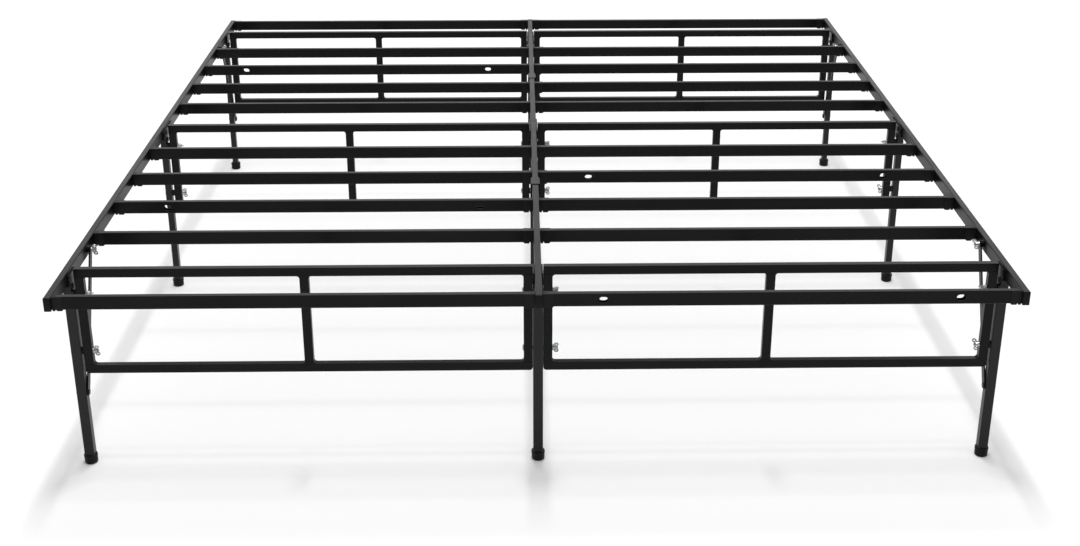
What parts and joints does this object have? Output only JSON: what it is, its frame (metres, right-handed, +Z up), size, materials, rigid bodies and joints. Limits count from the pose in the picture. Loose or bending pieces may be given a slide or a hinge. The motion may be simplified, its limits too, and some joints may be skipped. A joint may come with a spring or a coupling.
{
  "type": "folding metal platform bed frame",
  "caption": "Black tube-steel platform bed frame: three long rails with clip-in cross slats on rows of folding legs tied by open panels and corner stays.",
  "frame": {"origin": "on the floor at the middle of the frame, centred between the side rails and between the rail ends", "axes": "+Z up, +Y along the rails towards the rear, +X to the right seen from the front"},
  "size_m": [1.945, 2.032, 0.457],
  "materials": {
    "black_steel": "satin black powder coat",
    "black_plastic": "moulded, fine matt grain",
    "black_fasteners": "black oxide, slightly worn",
    "zinc": "bright zinc plate"
  },
  "bodies": {
    "frame": {"centre_rail_front": "black_steel", "centre_rail_middle_front": "black_steel", "centre_rail_middle_rear": "black_steel", "centre_rail_rear": "black_steel", "front_edge_slats": "black_steel", "front_inner_slats": "black_steel", "front_outer_slats": "black_steel", "front_slat_clips": "black_plastic", "left_front_rail": "black_steel", "left_rear_rail": "black_steel", "leg_hinge_plates": "black_steel", "leg_pivot_rivets": "black_fasteners", "middle_centre_leg": "black_steel", "middle_foot_caps": "black_plastic", "middle_joint_sleeves": "black_steel", "middle_left_leg": "black_steel", "middle_left_panel": "black_steel", "middle_leg_bolts": "zinc", "middle_panel_spacers": "black_plastic", "middle_panel_wing_nuts": "zinc", "middle_right_leg": "black_steel", "middle_right_panel": "black_steel", "middle_splice_plates": "black_steel", "middle_splice_rivets": "black_fasteners", "rail_end_plugs": "black_plastic", "rear_edge_slats": "black_steel", "rear_inner_slats": "black_steel", "rear_outer_slats": "black_steel", "rear_slat_clips": "black_plastic", "right_front_rail": "black_steel", "right_rear_rail": "black_steel", "stay_rail_bolts": "zinc"},
    "front_leg_row": {"front_centre_leg": "black_steel", "front_foot_caps": "black_plastic", "front_left_leg": "black_steel", "front_left_panel": "black_steel", "front_leg_bolts": "zinc", "front_panel_spacers": "black_plastic", "front_panel_wing_nuts": "zinc", "front_right_leg": "black_steel", "front_right_panel": "black_steel"},
    "front_stays": {"front_left_stay": "black_steel", "front_right_stay": "black_steel", "front_stay_studs": "black_fasteners"},
    "rear_leg_row": {"rear_centre_leg": "black_steel", "rear_foot_caps": "black_plastic", "rear_left_leg": "black_steel", "rear_left_panel": "black_steel", "rear_leg_bolts": "zinc", "rear_panel_spacers": "black_plastic", "rear_panel_wing_nuts": "zinc", "rear_right_leg": "black_steel", "rear_right_panel": "black_steel"},
    "rear_stays": {"rear_left_stay": "black_steel", "rear_right_stay": "black_steel", "rear_stay_studs": "black_fasteners"},
    "front_left_stay_nut": {"front_left_stay_wing_nut": "zinc"},
    "front_right_stay_nut": {"front_right_stay_wing_nut": "zinc"},
    "rear_left_stay_nut": {"rear_left_stay_wing_nut": "zinc"},
    "rear_right_stay_nut": {"rear_right_stay_wing_nut": "zinc"}
  },
  "joints": [
    {"name": "front_leg_row_fold", "type": "hinge", "parent": "frame", "child": "front_leg_row", "pos_m": [0, -0.875, 0.418], "axis": [1, 0, 0], "range_deg": [0, 85]},
    {"name": "front_stays_swing", "type": "hinge", "parent": "frame", "child": "front_stays", "pos_m": [0, -0.746, 0.44], "axis": [1, 0, 0], "range_deg": [0, 85]},
    {"name": "rear_leg_row_fold", "type": "hinge", "parent": "frame", "child": "rear_leg_row", "pos_m": [0, 0.875, 0.418], "axis": [-1, 0, 0], "range_deg": [0, 85]},
    {"name": "rear_stays_swing", "type": "hinge", "parent": "frame", "child": "rear_stays", "pos_m": [0, 0.746, 0.44], "axis": [-1, 0, 0], "range_deg": [0, 85]},
    {"name": "front_left_stay_nut_spin", "type": "hinge", "parent": "frame", "child": "front_left_stay_nut", "pos_m": [-0.9442, -0.746, 0.44], "axis": [1, 0, 0], "continuous": true},
    {"name": "front_right_stay_nut_spin", "type": "hinge", "parent": "frame", "child": "front_right_stay_nut", "pos_m": [0.9442, -0.746, 0.44], "axis": [1, 0, 0], "continuous": true},
    {"name": "rear_left_stay_nut_spin", "type": "hinge", "parent": "frame", "child": "rear_left_stay_nut", "pos_m": [-0.9442, 0.746, 0.44], "axis": [1, 0, 0], "continuous": true},
    {"name": "rear_right_stay_nut_spin", "type": "hinge", "parent": "frame", "child": "rear_right_stay_nut", "pos_m": [0.9442, 0.746, 0.44], "axis": [1, 0, 0], "continuous": true}
  ],
  "couplings": [
    {"joint": "front_stays_swing", "follows": "front_leg_row_fold", "ratio": 1},
    {"joint": "rear_stays_swing", "follows": "rear_leg_row_fold", "ratio": 1}
  ]
}
